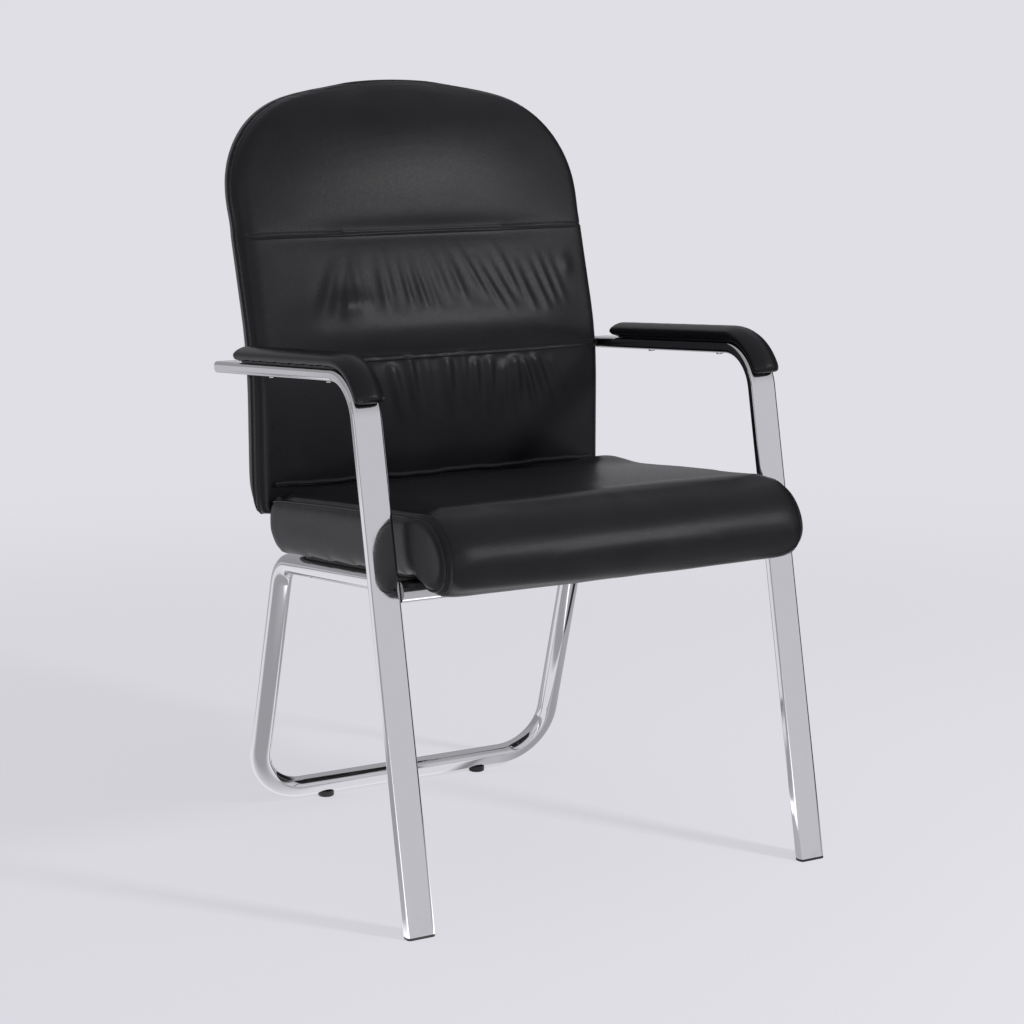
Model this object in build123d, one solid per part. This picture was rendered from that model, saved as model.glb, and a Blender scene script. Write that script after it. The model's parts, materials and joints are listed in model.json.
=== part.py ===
from build123d import *
from math import asin, cos, degrees, pi, radians, sin, sqrt, tan
import os

# Conference armchair with a fixed tube frame, in millimetres.
# The sitter faces -Y and +Z is up. The modelling origin is on the floor, at the front face of the feet.

# Width, which the side frames, the rails and the back follow
seat_half_width = 263.0
side_gap = 8.0                 # seat to each side frame

# Side frames: one flat tube each, bent into a front leg and an arm
flat_width = 38.0
flat_thickness = 15.0
flat_corner = 5.0
flat_wall = 1.5
leg_lean = 11.5                # degrees, leaning back
arm_height = 656.0             # leg and arm centre lines cross here
arm_slope = 4.16               # degrees, falling to the rear
arm_bend = 57.5                # radius on the centre line
arm_overrun = 18.4             # arm tube past the middle of its tab
arm_plate_thickness = 1.5

# Front feet: plugs in the tube ends
foot_flange = 3.0
foot_insert = 25.0
foot_wall = 2.5

# Round tubes: the crossbar and the rear loop, which is two rails, two rear legs and a floor run
round_tube = 28.0
round_wall = 1.8
crossbar_height = 402.0
crossbar_disc_thickness = 2.0
rail_inset = 31.0              # rail centre line inside the side of the seat
rail_slope = 5.2               # degrees, falling to the rear
rail_length = 398.0            # crossbar axis to the corner over the rear leg
rear_lean = 16.3               # degrees, feet to the rear
rail_bend = 42.0
floor_bend = 70.0
cope_flat = 3.0                # flat left on the horns of the rail ends

# Rear glides, saddled on the floor run
glide_half_span = 123.0
glide_diameter = 22.5
glide_height = 6.0             # floor to the tube
glide_saddle = 2.5             # how far the saddle climbs the tube
glide_edge = 2.0
glide_stem_diameter = 6.0
glide_stem_reach = 6.0         # stem inside the tube

# Clearances
fit_gap = 0.2                  # between metal, plastic and wood pieces
soft_gap = 0.4                 # round soft pieces

# Fasteners
bolt_diameter = 6.0
bolt_head_diameter = 12.0
bolt_head_height = 3.5
bolt_end_gap = 1.0             # bolt tip below the face of its nut
screw_diameter = 5.0
screw_head_diameter = 9.0
screw_head_height = 3.0
screw_grip = 5.0               # screw in the pad core
head_edge = 1.2                # rounding of every head
nut_flange_diameter = 17.0
nut_flange_thickness = 1.5
nut_barrel_diameter = 8.0
nut_barrel_length = 8.5
saddle_diameter = 15.0
saddle_height = 4.0            # under the inner top line of the rail
access_diameter = 16.0         # hole under the rail for washer, bolt and key

# Seat, measured along the rails from the crossbar and square to their top
seat_side_height = 82.0        # top panel over the rails, where it turns down to the sides
seat_skirt = 4.0               # lower edge of the cushion over the rails
seat_back_gap = 1.5            # rearmost line of the seat to the back
seat_rear_radius_height = 47.0
seat_rear_foot = 333.0
seat_rear_shoulder = 14.0      # rear top seam ahead of the rearmost line
seat_front = 106.0             # roll ahead of the crossbar
seat_front_height = 20.0       # foremost line of the roll
seat_roll_top = 30.0           # start of the roll ahead of the crossbar
seat_roll_drop = 19.5          # roll below the top of the rails
seat_roll_bottom = 66.0        # lowest line of the roll ahead of the crossbar
seat_roll_clear = 18.0         # end of the roll ahead of the crossbar
roll_square_run = 0.25         # shape of the roll: this share of the way in
roll_square_rise = 0.67        # at this share of the way up or down
seat_crown = 6.0
seat_crown_power = 4            # higher carries the crown closer to the sides
seat_seam_arch = 2.0           # rise of the top panel along the seat
seat_front_crown = 9.0
seat_side_inset = 14.0         # how far the sides draw the top and the roll in
seat_rear_inset = 4.0          # how far they draw the rear in
seat_side_round = 30.0         # width over which they do
seat_steps = 7                 # sections from the middle to each side
base_thickness = 15.0
base_side_inset = 15.0         # inside the side of the seat
base_front = 8.0               # ahead of the crossbar
base_rear = 318.0
base_corner = 30.0
seat_bolt_front = 55.0
seat_bolt_rear = 300.0

# Back, measured from its lower front seam
back_base_y = 478.6
back_base_z = 469.5
back_bend = 440.0              # radius of the front seam line, seen from the side
back_bend_z = 640.0            # where its upright and its leaning length would cross
head_lean = 16.0               # degrees, above the bend
back_overhang = 4.0            # widest line outside the side of the seat
back_top = 997.5
back_top_radius = 640.0
back_corner_radius = 137.0
back_thickness = 58.0
back_tip_z = 432.0
back_tip_thickness = 30.0
back_tip_inset = 4.0           # lower corners drawn in
back_tail = 50.0               # height over which the lower end thins
back_edge_roll = 66.0          # height over which the top edge rounds
back_top_flat = 2.0            # cut off the very top of the roll
lower_channel_z = 631.0
upper_channel_z = 795.5
channel_crown = 4.0
lower_crown = 15.0
middle_crown = 17.0
head_crown = 23.0
back_rear_crown = 5.0
pillow_steps = 6               # sections of each pillow
head_steps = 9
back_front_round = 9.0         # front seam inside the widest line
back_rear_round = 15.0         # rear seam inside the widest line
board_depth = 9.0              # front seam plane to the board
board_thickness = 12.0
board_inset = 20.0             # board edge inside the back's outline
board_bottom_z = 446.0

# Back brackets: bent flat bars from under the seat to behind the board
bracket_half_span = 110.0
bracket_width = 40.0
bracket_thickness = 5.0
bracket_front = 215.0          # front end, from the crossbar
bracket_bend = 18.0
bracket_rise = 100.0           # top end over the lower front seam
bracket_bolt_front = 240.0
bracket_bolt_rear = 295.0
bracket_bolt_low = 30.0        # heights over the lower front seam
bracket_bolt_high = 80.0

# Arm tabs: plates from the arm ends to behind the board
tab_height = 22.0
tab_thickness = 4.0
tab_reach = 89.0               # from the arm's inner face
tab_bolt_inset = 39.0          # first bolt from there
tab_bolt_pitch = 34.0
tab_passes = 8                 # rounds that find where the arm meets its tab
pocket_room = 1.0              # round bars, tabs and heads inside the back

# Arm pads, from the arm end over the bend
pad_width = 41.0
pad_height = 18.5
pad_crown = 5.0
pad_side_draw = 3.0            # underside drawn in
pad_top_draw = 6.0             # shoulders drawn in
pad_setback = 56.0             # from the arm end
pad_wrap = 70.0                # degrees round the bend
pad_edge = 5.0                 # rounding of the front lip
pad_reveal = 2.5               # open line between tube and pad
core_width = 26.0
core_height = 10.0
core_end_inset = 16.0
core_wrap = 52.0               # degrees round the bend
screw_setbacks = (136.0, 298.0)

sides = {"left": 1, "right": -1}    # as the sitter has them
across = Vector(1, 0, 0)
tool_reach = 200.0                  # cutting solids reach this far past what they cut
tool_margin = 1.0                   # and holes this far past a face
nodes = {}


def lean_direction(degrees):
    """Unit vector up a line that leans back."""
    return Vector(0, sin(radians(degrees)), cos(radians(degrees)))


def fall_direction(degrees):
    """Unit vector to the rear along a line that falls."""
    return Vector(0, cos(radians(degrees)), -sin(radians(degrees)))


def section_plane(path):
    """Plane square to the start of a path in a side plane, with X across the chair."""
    return Plane(origin=path @ 0, x_dir=across, z_dir=path % 0)


def place(plane, x, y, z=0.0):
    """Location at local coordinates on a plane."""
    return plane.location * Pos(x, y, z)


def rod(radius, low, high):
    """Cylinder on the local Z axis between two heights."""
    return Pos(0, 0, (low + high) / 2) * Cylinder(radius, high - low)


def headed_bolt(diameter, length, head_diameter, head_height):
    """Bolt along +Z with the underside of its head at zero."""
    head = rod(head_diameter / 2, -head_height, 0)
    head = fillet(head.edges().group_by(Axis.Z)[0], head_edge)
    return head + rod(diameter / 2, 0, length)


def t_nut():
    """T-nut whose flange face is at zero and whose barrel points along -Z."""
    flange = rod(nut_flange_diameter / 2, -nut_flange_thickness, 0)
    barrel_low = -nut_flange_thickness - nut_barrel_length
    barrel = rod(nut_barrel_diameter / 2, barrel_low, -nut_flange_thickness)
    bore = rod(bolt_diameter / 2 + fit_gap / 2, barrel_low, 0)
    return flange + barrel - bore


def t_nut_hole(panel_thickness):
    """Stepped hole for a T-nut, with the flange recessed in the panel's face at zero."""
    recess = rod(nut_flange_diameter / 2 + fit_gap, -nut_flange_thickness - fit_gap / 2, tool_margin)
    return recess + rod(nut_barrel_diameter / 2 + fit_gap, -panel_thickness - tool_margin, tool_margin)


# Widths
frame_inner = seat_half_width + side_gap
frame_half_span = frame_inner + flat_width / 2
loop_half_span = seat_half_width - rail_inset
base_half_width = seat_half_width - base_side_inset
back_half = seat_half_width + back_overhang
tab_inner = frame_inner - tab_reach

# Side frame lines
leg_direction = lean_direction(leg_lean)
arm_direction = fall_direction(arm_slope)
arm_up = lean_direction(arm_slope)
foot_centre = Vector(0, flat_thickness / 2 / cos(radians(leg_lean)), 0)
arm_corner = foot_centre + leg_direction * (arm_height / cos(radians(leg_lean)))
arm_turn = radians(90 - leg_lean + arm_slope)
arm_bend_run = arm_bend * tan(arm_turn / 2)
arm_bend_end = arm_corner + arm_direction * arm_bend_run
arm_bend_centre = arm_bend_end - arm_up * arm_bend

# Frame of the back's upright length: X across, Y up, Z forward
back_up = lean_direction(0)
back_forward = -fall_direction(0)
back_plane = Plane(origin=(0, back_base_y, back_base_z), x_dir=across, z_dir=back_forward)
back_bend_start = back_bend_z - back_bend * tan(radians(head_lean) / 2)
board_rear = board_depth + board_thickness
board_rear_face = -board_rear


def back_line_at(z, offset):
    """Y and lean, in degrees, of a line behind the front seams: upright, bent and leaning."""
    radius = back_bend - offset
    rise = z - back_bend_start
    turn = asin(min(max(rise / radius, 0.0), sin(radians(head_lean))))
    past_bend = max(0.0, rise - radius * sin(turn))
    return back_base_y + back_bend - radius * cos(turn) + past_bend * tan(turn), degrees(turn)


# Each arm meets the middle of its tab, a flat plate that clears the bent board, and ends past it
tab_gap = fit_gap + tab_height ** 2 / 8 / (back_bend - board_rear)
tab_point = arm_corner
for _ in range(tab_passes):
    tab_y, tab_lean = back_line_at(tab_point.Z, board_rear + tab_gap + tab_thickness / 2)
    tab_point = arm_corner + arm_direction * ((tab_y - arm_corner.Y) / arm_direction.Y)
tab_plane = Plane(origin=tab_point, x_dir=across, z_dir=-fall_direction(tab_lean))
arm_end = tab_point + arm_direction * arm_overrun

# Frame of the seat: X across, Y rearwards along the rails, Z up from their top
rail_direction = fall_direction(rail_slope)
rail_up = lean_direction(rail_slope)
crossbar_axis = foot_centre + leg_direction * (crossbar_height / cos(radians(leg_lean)))
seat_plane = Plane(
    origin=crossbar_axis + rail_up * (round_tube / 2 + fit_gap), x_dir=across, z_dir=rail_up
)
rear_level = seat_plane.origin + rail_up * seat_rear_radius_height - back_plane.origin
rear_stop = channel_crown + seat_back_gap - rear_level.dot(back_forward)
seat_rear = rear_stop / rail_direction.dot(back_forward)
saddle_low = -fit_gap - round_wall - fit_gap - saddle_height


def flat_section(shrink):
    """Rounded outline of the flat tube, drawn in all round."""
    return RectangleRounded(
        flat_width - 2 * shrink, flat_thickness - 2 * shrink, flat_corner - shrink
    )


def leg_slice(shrink, low, high):
    """Piece of the leaning leg between two heights."""
    start = foot_centre - leg_direction * flat_thickness
    plane = Plane(origin=start, x_dir=across, z_dir=leg_direction)
    leg = extrude(plane * flat_section(shrink), 2 * flat_thickness + 2 * high)
    slab = Pos(0, 0, (low + high) / 2) * Box(tool_reach, tool_reach, high - low)
    return leg & slab


def arm_station(setback):
    """Plane across the arm's centre line, Z up out of the arm, at a distance from the arm's end."""
    origin = arm_end - arm_direction * setback
    return Plane(origin=origin, x_dir=across, z_dir=arm_up)


def screw_sites():
    """Locations on the underside of the arm tube."""
    return [place(arm_station(setback), 0, 0, -flat_thickness / 2) for setback in screw_setbacks]


def side_frame():
    start = foot_centre - leg_direction * flat_thickness
    path = FilletPolyline(start, arm_corner, arm_end, radius=arm_bend)
    plane = section_plane(path)
    tube = sweep(plane * flat_section(0), path=path) - sweep(plane * flat_section(flat_wall), path=path)
    tube = split(tube, bisect_by=Plane.XY.offset(foot_flange), keep=Keep.TOP)
    for site in screw_sites():
        tube -= site * rod(screw_diameter / 2 + fit_gap, -flat_wall, flat_thickness + flat_wall)
    return tube


def front_foot():
    flange = leg_slice(0, 0, foot_flange)
    insert = leg_slice(flat_wall + fit_gap, foot_flange, foot_flange + foot_insert)
    hollow = leg_slice(flat_wall + fit_gap + foot_wall, foot_flange, foot_flange + foot_insert + tool_margin)
    return flange + (insert - hollow)


def arm_end_plate():
    plane = Plane(origin=arm_end, x_dir=across, z_dir=arm_direction)
    return extrude(plane * flat_section(0), arm_plate_thickness)


def pad_path(offset, setback, wrap):
    """Line over the arm tube from near its end round the front bend, at a distance from its centre."""
    radius = arm_bend + offset

    def on_bend(degrees):
        turn = radians(degrees)
        return arm_bend_centre + (arm_up * cos(turn) - arm_direction * sin(turn)) * radius

    rear = arm_end - arm_direction * setback + arm_up * offset
    return Wire([Line(rear, on_bend(0)), ThreePointArc(on_bend(0), on_bend(wrap / 2), on_bend(wrap))])


def pad_section():
    """Crowned section with its underside at zero."""
    foot = pad_width / 2 - pad_side_draw
    shoulder = pad_width / 2 - pad_top_draw
    top = pad_height - pad_crown
    outline = [
        Line((-foot, 0), (foot, 0)),
        ThreePointArc((foot, 0), (pad_width / 2, top / 2), (shoulder, top)),
        ThreePointArc((shoulder, top), (0, pad_height), (-shoulder, top)),
        ThreePointArc((-shoulder, top), (-pad_width / 2, top / 2), (-foot, 0)),
    ]
    return make_face(outline)


def pad_core(room):
    """Core strip under the pad, or its pocket with room all round."""
    offset = flat_thickness / 2 + fit_gap
    path = pad_path(offset, pad_setback + core_end_inset - room, core_wrap + degrees(room / arm_bend))
    section = Pos(0, core_height / 2) * Rectangle(core_width + 2 * room, core_height + 2 * room)
    return sweep(section_plane(path) * section, path=path)


def pad_nose_cut(rear):
    """What the round rear end of the pad takes off, behind a line across its underside."""
    radius = pad_height / 2
    behind = Pos(0, radius, 0) * Box(2 * pad_width, pad_height, 2 * pad_height)
    nose = Rot(0, 90, 0) * Cylinder(radius, 2 * pad_width)
    centre = rear + (arm_up - arm_direction) * radius
    return Plane(origin=centre, x_dir=across, z_dir=arm_up).location * (behind - nose)


def arm_pad():
    path = pad_path(flat_thickness / 2 + pad_reveal, pad_setback, pad_wrap)
    pad = sweep(section_plane(path) * pad_section(), path=path)
    pad -= pad_nose_cut(path @ 0)
    front_end = pad.faces().filter_by(GeomType.PLANE).sort_by(Axis.Y)[0]
    return fillet(front_end.edges(), pad_edge) - pad_core(soft_gap)


def arm_tab(side):
    length = frame_inner - tab_inner
    tab = place(tab_plane, side * (tab_inner + length / 2), 0) * Box(length, tab_height, tab_thickness)
    for hole in tab_bolt_sites(side):
        tab -= hole * rod(bolt_diameter / 2 + fit_gap, -tab_thickness, 2 * tab_thickness)
    return tab


def tab_bolt_sites(side):
    """Locations on the rear face of an arm tab."""
    outer = frame_inner - tab_bolt_inset
    return [place(tab_plane, side * x, 0, -tab_thickness / 2) for x in (outer, outer - tab_bolt_pitch)]


def bracket_back_sites(side):
    """Locations on the rear face of a back bracket."""
    depth = board_rear_face - bracket_thickness
    heights = (bracket_bolt_low, bracket_bolt_high)
    return [place(back_plane, side * bracket_half_span, h, depth) for h in heights]


def bracket_seat_sites(side):
    """Locations on the underside of a back bracket, under the seat."""
    depths = (bracket_bolt_front, bracket_bolt_rear)
    return [place(seat_plane, side * bracket_half_span, v, -bracket_thickness) for v in depths]


def rail_sites():
    """Locations on the rails' top, where the seat is bolted down."""
    depths = (seat_bolt_front, seat_bolt_rear)
    return [place(seat_plane, side * loop_half_span, v) for side in sides.values() for v in depths]


def back_bracket(side):
    rise = back_plane.from_local_coords((0, 0, board_rear_face - bracket_thickness / 2))
    rise_level = (rise - seat_plane.origin).dot(rail_up)
    drop = (rise_level + bracket_thickness / 2) / back_up.dot(rail_up)
    path = FilletPolyline(
        seat_plane.from_local_coords((0, bracket_front, -bracket_thickness / 2)),
        rise - back_up * drop,
        rise + back_up * bracket_rise,
        radius=bracket_bend,
    )
    bar = sweep(section_plane(path) * Rectangle(bracket_width, bracket_thickness), path=path)
    bar = Pos(side * bracket_half_span, 0, 0) * bar
    for hole in bracket_back_sites(side) + bracket_seat_sites(side):
        bar -= hole * rod(bolt_diameter / 2 + fit_gap, -bracket_thickness, 2 * bracket_thickness)
    return bar


def front_crossbar():
    half = frame_inner - crossbar_disc_thickness
    tube = Cylinder(round_tube / 2, 2 * half) - Cylinder(round_tube / 2 - round_wall, 2 * half)
    return Plane(origin=crossbar_axis, z_dir=across).location * tube


def crossbar_disc(side):
    disc = Cylinder(round_tube / 2, crossbar_disc_thickness)
    centre = crossbar_axis + across * side * (frame_inner - crossbar_disc_thickness / 2)
    return Plane(origin=centre, z_dir=across).location * disc


def loop_corners():
    """Centre line corners of one side: rail end, over the rear leg, and on the floor run."""
    rail_end = crossbar_axis + rail_direction * cope_flat
    knee = crossbar_axis + rail_direction * rail_length
    run_height = glide_height + round_tube / 2
    run = Vector(0, knee.Y + (knee.Z - run_height) * tan(radians(rear_lean)), run_height)
    return rail_end, knee, run


def glide_site(side):
    """Location on the floor under the floor run."""
    return Pos(side * glide_half_span, loop_corners()[2].Y, 0)


def rear_loop():
    left = [corner + across * loop_half_span for corner in loop_corners()]
    right = [corner - across * loop_half_span for corner in reversed(loop_corners())]
    bends = [rail_bend, floor_bend, floor_bend, rail_bend]
    path = FilletPolyline(*left, *right, radius=bends)
    plane = Plane(origin=path @ 0, z_dir=path % 0)
    tube = sweep(plane * Circle(round_tube / 2), path=path)
    tube -= sweep(plane * Circle(round_tube / 2 - round_wall), path=path)
    crossbar = Cylinder(round_tube / 2 + fit_gap, 2 * frame_half_span)
    tube -= Plane(origin=crossbar_axis, z_dir=across).location * crossbar
    for site in rail_sites():
        tube -= site * rod(bolt_diameter / 2 + fit_gap, -round_tube / 2, tool_margin)
        tube -= site * rod(access_diameter / 2, -round_tube - tool_margin, -round_tube / 2)
    for side in sides.values():
        stem = rod(glide_stem_diameter / 2 + fit_gap, 0, glide_height + round_tube / 2)
        tube -= glide_site(side) * stem
    return tube


def rear_glide(side):
    pad = rod(glide_diameter / 2, 0, glide_height + glide_saddle)
    pad = fillet(pad.edges().group_by(Axis.Z)[0], glide_edge)
    seat = Pos(0, 0, glide_height + round_tube / 2) * Rot(0, 90, 0)
    pad -= seat * Cylinder(round_tube / 2 + fit_gap, 2 * glide_diameter)
    stem = rod(glide_stem_diameter / 2, glide_edge, glide_height + glide_stem_reach)
    return glide_site(side) * (pad + stem)


def saddle_washer():
    """Washer inside the rail, rounded to its wall, with the seat base's underside at zero."""
    washer = rod(saddle_diameter / 2, saddle_low, 0)
    axis = Pos(0, 0, -round_tube / 2 - fit_gap) * Rot(90, 0, 0)
    washer &= axis * Cylinder(round_tube / 2 - round_wall - fit_gap, 2 * saddle_diameter)
    return washer - rod(bolt_diameter / 2 + fit_gap, 2 * saddle_low, 0)


def seat_bolt():
    """Bolt up from inside a rail, through its washer and the rail's top wall, into the seat base."""
    length = base_thickness - bolt_end_gap - saddle_low
    return Pos(0, 0, saddle_low) * headed_bolt(bolt_diameter, length, bolt_head_diameter, bolt_head_height)


def short_bolt(grip, panel_thickness):
    """Bolt through a bar and most of a panel."""
    length = grip + panel_thickness - bolt_end_gap
    return headed_bolt(bolt_diameter, length, bolt_head_diameter, bolt_head_height)


def base_panel(room):
    """Plywood seat base, or its pocket with room at the sides and over it."""
    length = base_front + base_rear
    outline = Pos(0, base_rear - length / 2) * RectangleRounded(
        2 * base_half_width + 2 * room, length + 2 * room, base_corner + room
    )
    return seat_plane.location * extrude(outline, base_thickness + room)


def base_nut_sites():
    """Locations on the base's top face where bolts come through."""
    sites = [site * Pos(0, 0, base_thickness) for site in rail_sites()]
    for side in sides.values():
        for site in bracket_seat_sites(side):
            sites.append(site * Pos(0, 0, bracket_thickness + base_thickness))
    return sites


def seat_base():
    panel = base_panel(0)
    for site in base_nut_sites():
        panel -= site * t_nut_hole(base_thickness)
    return panel


def roll_bulge(nose, end):
    """Point on the roll between its foremost line and one end of it."""
    return (
        nose[0] + (end[0] - nose[0]) * roll_square_run,
        nose[1] + (end[1] - nose[1]) * roll_square_rise,
    )


def seat_section(x):
    """Profile of the seat cushion across the chair at x, in the frame of the seat."""
    margin = max(0.0, abs(x) - seat_half_width + seat_side_round) / seat_side_round
    drawn = 1 - sqrt(1 - margin ** 2)
    inset = seat_side_inset * drawn
    swell = 1 - (x / seat_half_width) ** 2
    top = seat_side_height - inset
    crown = seat_seam_arch + seat_crown * (1 - (x / seat_half_width) ** seat_crown_power)
    rear = seat_rear - seat_rear_inset * drawn
    front = -seat_front + inset - seat_front_crown * swell
    rear_foot = (seat_rear_foot - seat_rear_inset * drawn, seat_skirt)
    rear_line = (rear, seat_rear_radius_height)
    rear_top = (rear - seat_rear_shoulder, top)
    crest = ((rear - seat_rear_shoulder - seat_roll_top) / 2, top + crown)
    roll_start = (-seat_roll_top, top + crown / 2)
    nose = (front, seat_front_height)
    shoulder = roll_bulge(nose, roll_start)
    chin = (inset - seat_roll_bottom, inset - seat_roll_drop)
    jaw = roll_bulge(nose, chin)
    roll_end = (-seat_roll_clear, seat_skirt)
    outline = [
        ThreePointArc(rear_foot, rear_line, rear_top),
        ThreePointArc(rear_top, crest, roll_start),
        ThreePointArc(roll_start, shoulder, nose),
        ThreePointArc(nose, jaw, chin),
        Line(chin, roll_end),
        Line(roll_end, rear_foot),
    ]
    side_plane = Plane(origin=place(seat_plane, x, 0).position, x_dir=rail_direction, z_dir=across)
    return side_plane * make_face(outline)


def seat_cushion():
    steps = range(-seat_steps, seat_steps + 1)
    cushion = loft([seat_section(seat_half_width * sin(pi / 2 * step / seat_steps)) for step in steps])
    return cushion - base_panel(soft_gap)


def back_outline(inset):
    """Front outline of the back inside its widest line: arched top, rounded corners, upright sides."""
    radius = back_top_radius - inset
    corner = back_corner_radius - inset
    half = back_half - inset
    arch_centre = back_top - back_top_radius
    corner_z = arch_centre + sqrt((radius - corner) ** 2 - (half - corner) ** 2)
    reach = radius / (radius - corner)
    shoulder = ((half - corner) * reach, arch_centre + (corner_z - arch_centre) * reach)
    return radius, corner, half, arch_centre, corner_z, shoulder


def back_half_width(z):
    """Half width of the back at a height."""
    radius, corner, half, arch_centre, corner_z, shoulder = back_outline(0)
    if z > shoulder[1]:
        return sqrt(radius ** 2 - (z - arch_centre) ** 2)
    if z > corner_z:
        return half - corner + sqrt(corner ** 2 - (z - corner_z) ** 2)
    tail = max(0.0, back_tip_z + back_tail - z) / back_tail
    return half - back_tip_inset * tail ** 2


def back_section(z, crown):
    """Horizontal section of the whole back: crowned front, round sides, gently crowned rear."""
    tail = max(0.0, back_tip_z + back_tail - z) / back_tail
    roll = max(0.0, z - back_top + back_edge_roll) / back_edge_roll
    thickness = back_thickness * sqrt(1 - roll ** 2)
    thickness -= (back_thickness - back_tip_thickness) * tail ** 2
    share = thickness / back_thickness
    half = back_half_width(z)
    front = back_line_at(z, 0)[0] + (back_thickness - thickness) / 2 * (1 if roll else 0)
    rear = front + thickness
    front_half = half - back_front_round * share
    rear_half = half - back_rear_round * share
    outline = [
        ThreePointArc((-front_half, front), (0, front - crown * share), (front_half, front)),
        ThreePointArc((front_half, front), (half, front + thickness / 2), (rear_half, rear)),
        ThreePointArc((rear_half, rear), (0, rear + back_rear_crown * share), (-rear_half, rear)),
        ThreePointArc((-rear_half, rear), (-half, front + thickness / 2), (-front_half, front)),
    ]
    return Plane.XY.offset(z) * make_face(outline)


def back_pillow(low, high, crown, steps, crowded):
    """Puffed length of the back between two channels or ends, with sections crowded to its top if asked."""
    sections = []
    for step in range(steps + 1):
        share = step / steps
        climb = sin(pi / 2 * share) if crowded else share
        puff = (crown - channel_crown) * sqrt(sin(pi * climb))
        sections.append(back_section(low + (high - low) * climb, channel_crown + puff))
    return loft(sections)


def back_line(offset):
    """Side view corners of a line behind the front seams, and the radius of its bend."""
    lower_normal = -back_forward
    upper_normal = fall_direction(head_lean)
    knee = Vector(0, back_base_y, back_bend_z)
    knee += (lower_normal + upper_normal) * (offset / (1 + lower_normal.dot(upper_normal)))
    low = knee - back_up * (back_bend_z - back_tip_z + tool_reach)
    high = knee + lean_direction(head_lean) * (back_top - back_bend_z + tool_reach)
    return low, knee, high, back_bend - offset


def back_slab(front_offset, rear_offset):
    """Slab across the chair between two such lines."""
    low, knee, high, bend = back_line(front_offset)
    low_rear, knee_rear, high_rear, bend_rear = back_line(rear_offset)
    outline = [
        *FilletPolyline(low, knee, high, radius=bend).edges(),
        Line(high, high_rear),
        *FilletPolyline(high_rear, knee_rear, low_rear, radius=bend_rear).edges(),
        Line(low_rear, low),
    ]
    return extrude(make_face(outline), frame_half_span + tool_reach, dir=across, both=True)


def board_panel(room):
    """Bent plywood board, or its pocket with room in front of it and at its edges."""
    inset = board_inset - room
    radius, corner, half, arch_centre, corner_z, shoulder = back_outline(inset)
    bottom = board_bottom_z - room
    diagonal = corner * sqrt(0.5)
    outline = [
        Line((-half, bottom), (half, bottom)),
        Line((half, bottom), (half, corner_z)),
        ThreePointArc((half, corner_z), (half - corner + diagonal, corner_z + diagonal), shoulder),
        ThreePointArc(shoulder, (0, arch_centre + radius), (-shoulder[0], shoulder[1])),
        ThreePointArc(
            (-shoulder[0], shoulder[1]), (corner - half - diagonal, corner_z + diagonal), (-half, corner_z)
        ),
        Line((-half, corner_z), (-half, bottom)),
    ]
    prism = extrude(Plane.XZ * make_face(outline), 2 * back_top, both=True)
    return back_slab(board_depth - room, board_rear) & prism


def board_nut_sites():
    """Locations on the board's front face where bolts come through."""
    sites = []
    for side in sides.values():
        for site in bracket_back_sites(side):
            sites.append(site * Pos(0, 0, bracket_thickness + board_thickness))
        for site in tab_bolt_sites(side):
            sites.append(site * Pos(0, 0, tab_thickness + tab_gap + board_thickness))
    return sites


def back_board():
    board = board_panel(0)
    for site in board_nut_sites():
        board -= site * t_nut_hole(board_thickness)
    return board


def whole_back():
    tail = back_pillow(back_tip_z, back_base_z, channel_crown, pillow_steps, False)
    lower = back_pillow(back_base_z, lower_channel_z, lower_crown, pillow_steps, False)
    middle = back_pillow(lower_channel_z, upper_channel_z, middle_crown, pillow_steps, False)
    head = back_pillow(upper_channel_z, back_top - back_top_flat, head_crown, head_steps, True)
    return tail + lower + middle + head


def back_pockets():
    """Spaces in the rear panel for the tabs, the brackets and their bolt heads."""
    tab_depth = tab_gap + tab_thickness + bolt_head_height + pocket_room
    bar_depth = bracket_thickness + bolt_head_height + pocket_room
    pockets = []
    for side in sides.values():
        length = frame_half_span - tab_inner + pocket_room
        middle = side * (tab_inner - pocket_room + length / 2)
        site = place(tab_plane, middle, 0, tab_thickness / 2 + tab_gap - tab_depth / 2)
        pockets.append(site * Box(length, tab_height + 2 * pocket_room, tab_depth))
        height = bracket_rise + pocket_room
        reach = height + tool_reach
        middle = height - reach / 2
        site = place(back_plane, side * bracket_half_span, middle, board_rear_face - bar_depth / 2)
        pockets.append(site * Box(bracket_width + 2 * pocket_room, reach, bar_depth))
    return pockets


back = whole_back()
nodes["back_cushion"] = (back & back_slab(-tool_reach, board_rear)) - board_panel(soft_gap)
nodes["back_rear_panel"] = (back & back_slab(board_rear + soft_gap, tool_reach)) - back_pockets()
nodes["back_board"] = back_board()
nodes["seat_cushion"] = seat_cushion()
nodes["seat_base"] = seat_base()
nodes["front_crossbar"] = front_crossbar()
nodes["crossbar_end_discs"] = [crossbar_disc(side) for side in sides.values()]
nodes["rear_loop"] = rear_loop()
nodes["seat_bolts"] = [site * seat_bolt() for site in rail_sites()]
nodes["seat_saddle_washers"] = [site * saddle_washer() for site in rail_sites()]
nodes["seat_t_nuts"] = [site * t_nut() for site in base_nut_sites()]
nodes["back_t_nuts"] = [site * t_nut() for site in board_nut_sites()]
nodes["bracket_seat_bolts"] = []
nodes["bracket_back_bolts"] = []
nodes["arm_tab_bolts"] = []

frame_tube = side_frame()
foot = front_foot()
end_plate = arm_end_plate()
pad = arm_pad()
core = pad_core(0)
screw = headed_bolt(
    screw_diameter, flat_thickness + fit_gap + screw_grip, screw_head_diameter, screw_head_height
)
for site in screw_sites():
    core -= site * rod(screw_diameter / 2 + fit_gap / 2, 0, flat_thickness + 2 * fit_gap + screw_grip)

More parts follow.
